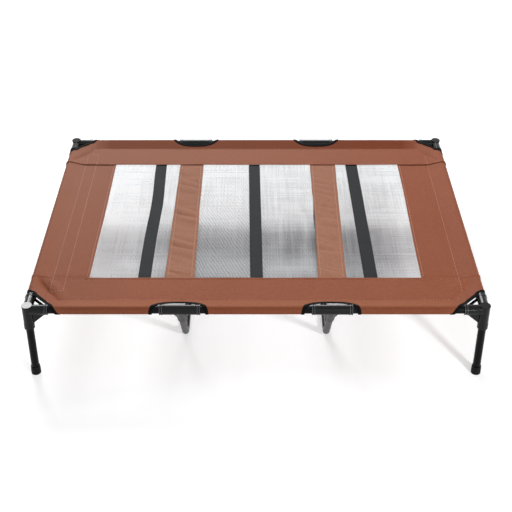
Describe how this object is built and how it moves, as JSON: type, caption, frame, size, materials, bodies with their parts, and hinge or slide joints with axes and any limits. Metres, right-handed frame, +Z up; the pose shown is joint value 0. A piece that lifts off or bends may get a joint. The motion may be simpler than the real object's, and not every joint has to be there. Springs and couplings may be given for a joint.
{
  "type": "raised dog cot",
  "caption": "Raised dog cot with a stretched cloth and mesh cover on a tube frame with plug-in legs and bent middle supports.",
  "frame": {"origin": "on the floor, under the middle of the cot", "axes": "+X along the length, to the right seen from the front; +Y to the back; +Z up"},
  "size_m": [1.2192, 0.9142, 0.229],
  "materials": {
    "plastic_black": "moulded, satin",
    "tube_black": "black paint, semi-gloss",
    "tube_grey": "dark grey paint, semi-gloss",
    "rubber_black": "matt",
    "cloth_brown": "plain woven polyester",
    "mesh_pale": "open coated mesh",
    "webbing_charcoal": "woven webbing",
    "binding_black": "woven tape"
  },
  "bodies": {
    "cot_frame": {"corner_connector_front_left": "plastic_black", "tee_connector_front_left": "plastic_black", "corner_binding_front_left": "binding_black", "tee_binding_front_left": "binding_black", "corner_connector_front_right": "plastic_black", "tee_connector_front_right": "plastic_black", "corner_binding_front_right": "binding_black", "tee_binding_front_right": "binding_black", "corner_connector_back_left": "plastic_black", "tee_connector_back_left": "plastic_black", "corner_binding_back_left": "binding_black", "tee_binding_back_left": "binding_black", "corner_connector_back_right": "plastic_black", "tee_connector_back_right": "plastic_black", "corner_binding_back_right": "binding_black", "tee_binding_back_right": "binding_black", "rail_front_left": "tube_black", "rail_front_middle": "tube_black", "rail_front_right": "tube_black", "border_front": "cloth_brown", "rail_back_left": "tube_black", "rail_back_middle": "tube_black", "rail_back_right": "tube_black", "border_back": "cloth_brown", "side_rail_left": "tube_black", "support_left": "tube_grey", "border_left": "cloth_brown", "cover_strip_left": "cloth_brown", "side_rail_right": "tube_black", "support_right": "tube_grey", "border_right": "cloth_brown", "cover_strip_right": "cloth_brown", "webbing_left": "webbing_charcoal", "webbing_middle": "webbing_charcoal", "webbing_right": "webbing_charcoal", "mesh_panel": "mesh_pale"},
    "leg_front_left": {"leg_tube_front_left": "tube_black", "foot_cap_front_left": "rubber_black"},
    "leg_front_right": {"leg_tube_front_right": "tube_black", "foot_cap_front_right": "rubber_black"},
    "leg_back_left": {"leg_tube_back_left": "tube_black", "foot_cap_back_left": "rubber_black"},
    "leg_back_right": {"leg_tube_back_right": "tube_black", "foot_cap_back_right": "rubber_black"}
  },
  "joints": [
    {"name": "leg_pull_front_left", "type": "slide", "parent": "cot_frame", "child": "leg_front_left", "axis": [0, 0, -1], "range_m": [0, 0.04]},
    {"name": "leg_pull_front_right", "type": "slide", "parent": "cot_frame", "child": "leg_front_right", "axis": [0, 0, -1], "range_m": [0, 0.04]},
    {"name": "leg_pull_back_left", "type": "slide", "parent": "cot_frame", "child": "leg_back_left", "axis": [0, 0, -1], "range_m": [0, 0.04]},
    {"name": "leg_pull_back_right", "type": "slide", "parent": "cot_frame", "child": "leg_back_right", "axis": [0, 0, -1], "range_m": [0, 0.04]}
  ]
}
